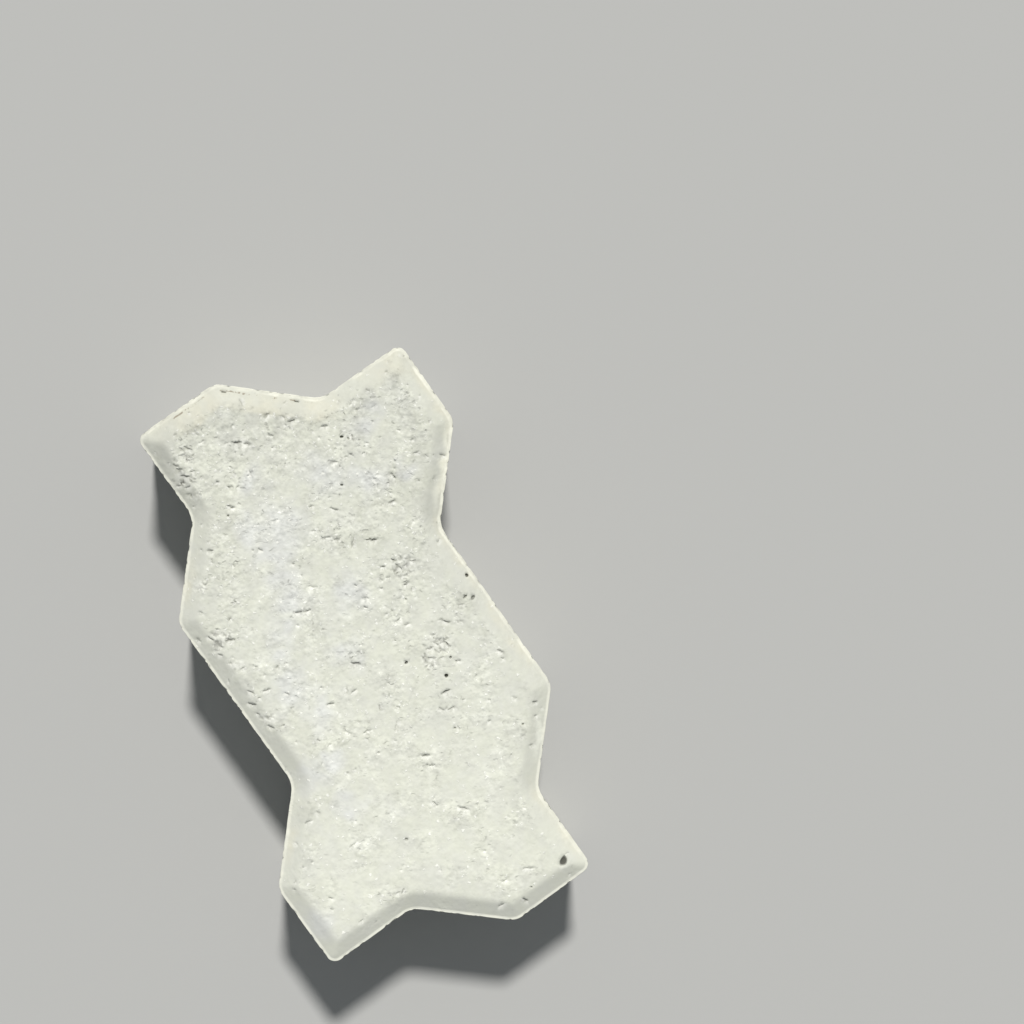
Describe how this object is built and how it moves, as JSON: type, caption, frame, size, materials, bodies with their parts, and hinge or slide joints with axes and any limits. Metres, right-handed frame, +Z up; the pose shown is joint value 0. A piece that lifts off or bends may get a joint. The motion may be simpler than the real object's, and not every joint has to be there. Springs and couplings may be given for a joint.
{
  "type": "concrete paving stone",
  "caption": "Interlocking pressed concrete paving stone with wavy sides, a flat top with a chamfered edge and a flat underside.",
  "frame": {"origin": "centre of the underside, which is the centre of the two laying modules that the stone fills", "axes": "+X along the stone, +Y across it, +Z up out of the wearing face"},
  "size_m": [0.2418, 0.1292, 0.06],
  "materials": {
    "concrete": "pale cream-grey pressed concrete, fine sand grain with small pores, matt"
  },
  "bodies": {
    "root": {"paving_stone": "concrete"}
  },
  "joints": []
}
